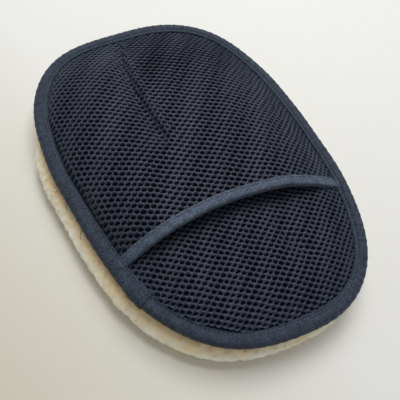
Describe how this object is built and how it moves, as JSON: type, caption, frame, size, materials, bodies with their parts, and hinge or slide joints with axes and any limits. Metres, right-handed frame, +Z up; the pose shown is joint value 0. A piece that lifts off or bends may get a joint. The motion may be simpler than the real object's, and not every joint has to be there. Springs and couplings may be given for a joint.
{
  "type": "grooming mitt",
  "caption": "Oval grooming mitt: a cream wool-pile pad with a dark air-mesh back, a domed mesh hand pocket open at the wrist side, and tape-bound edges.",
  "frame": {"origin": "middle of the mitt's outline, on the surface that its pile lies on", "axes": "+Z up out of the mesh back, +Y from the wrist to the fingertips, +X to the right seen from above"},
  "size_m": [0.189, 0.2521, 0.0402],
  "materials": {
    "wool_pile": "matt, lumpy cream wool pile",
    "knitted_ground": "matt knit",
    "spacer_mesh": "matt navy polyester spacer knit",
    "binding_tape": "semi-matt woven tape",
    "sewing_thread": "slightly glossy polyester thread"
  },
  "bodies": {
    "pad": {"wool_pile": "wool_pile", "pile_ground": "knitted_ground", "base_mesh_panel": "spacer_mesh", "pocket_margin": "spacer_mesh", "perimeter_binding": "binding_tape", "binding_join": "binding_tape", "perimeter_needle_thread": "sewing_thread", "perimeter_bobbin_thread": "sewing_thread", "upper_thread_tail": "sewing_thread", "lower_thread_tail": "sewing_thread"},
    "pocket": {"pocket_panel": "spacer_mesh", "pocket_edge_binding": "binding_tape", "pocket_needle_thread": "sewing_thread", "pocket_bobbin_thread": "sewing_thread", "dart_thread": "sewing_thread"}
  },
  "joints": [
    {"name": "pocket_lift", "type": "hinge", "parent": "pad", "child": "pocket", "pos_m": [0, 0.1135, 0.0215], "axis": [-1, 0, 0], "range_deg": [0, 9]}
  ]
}
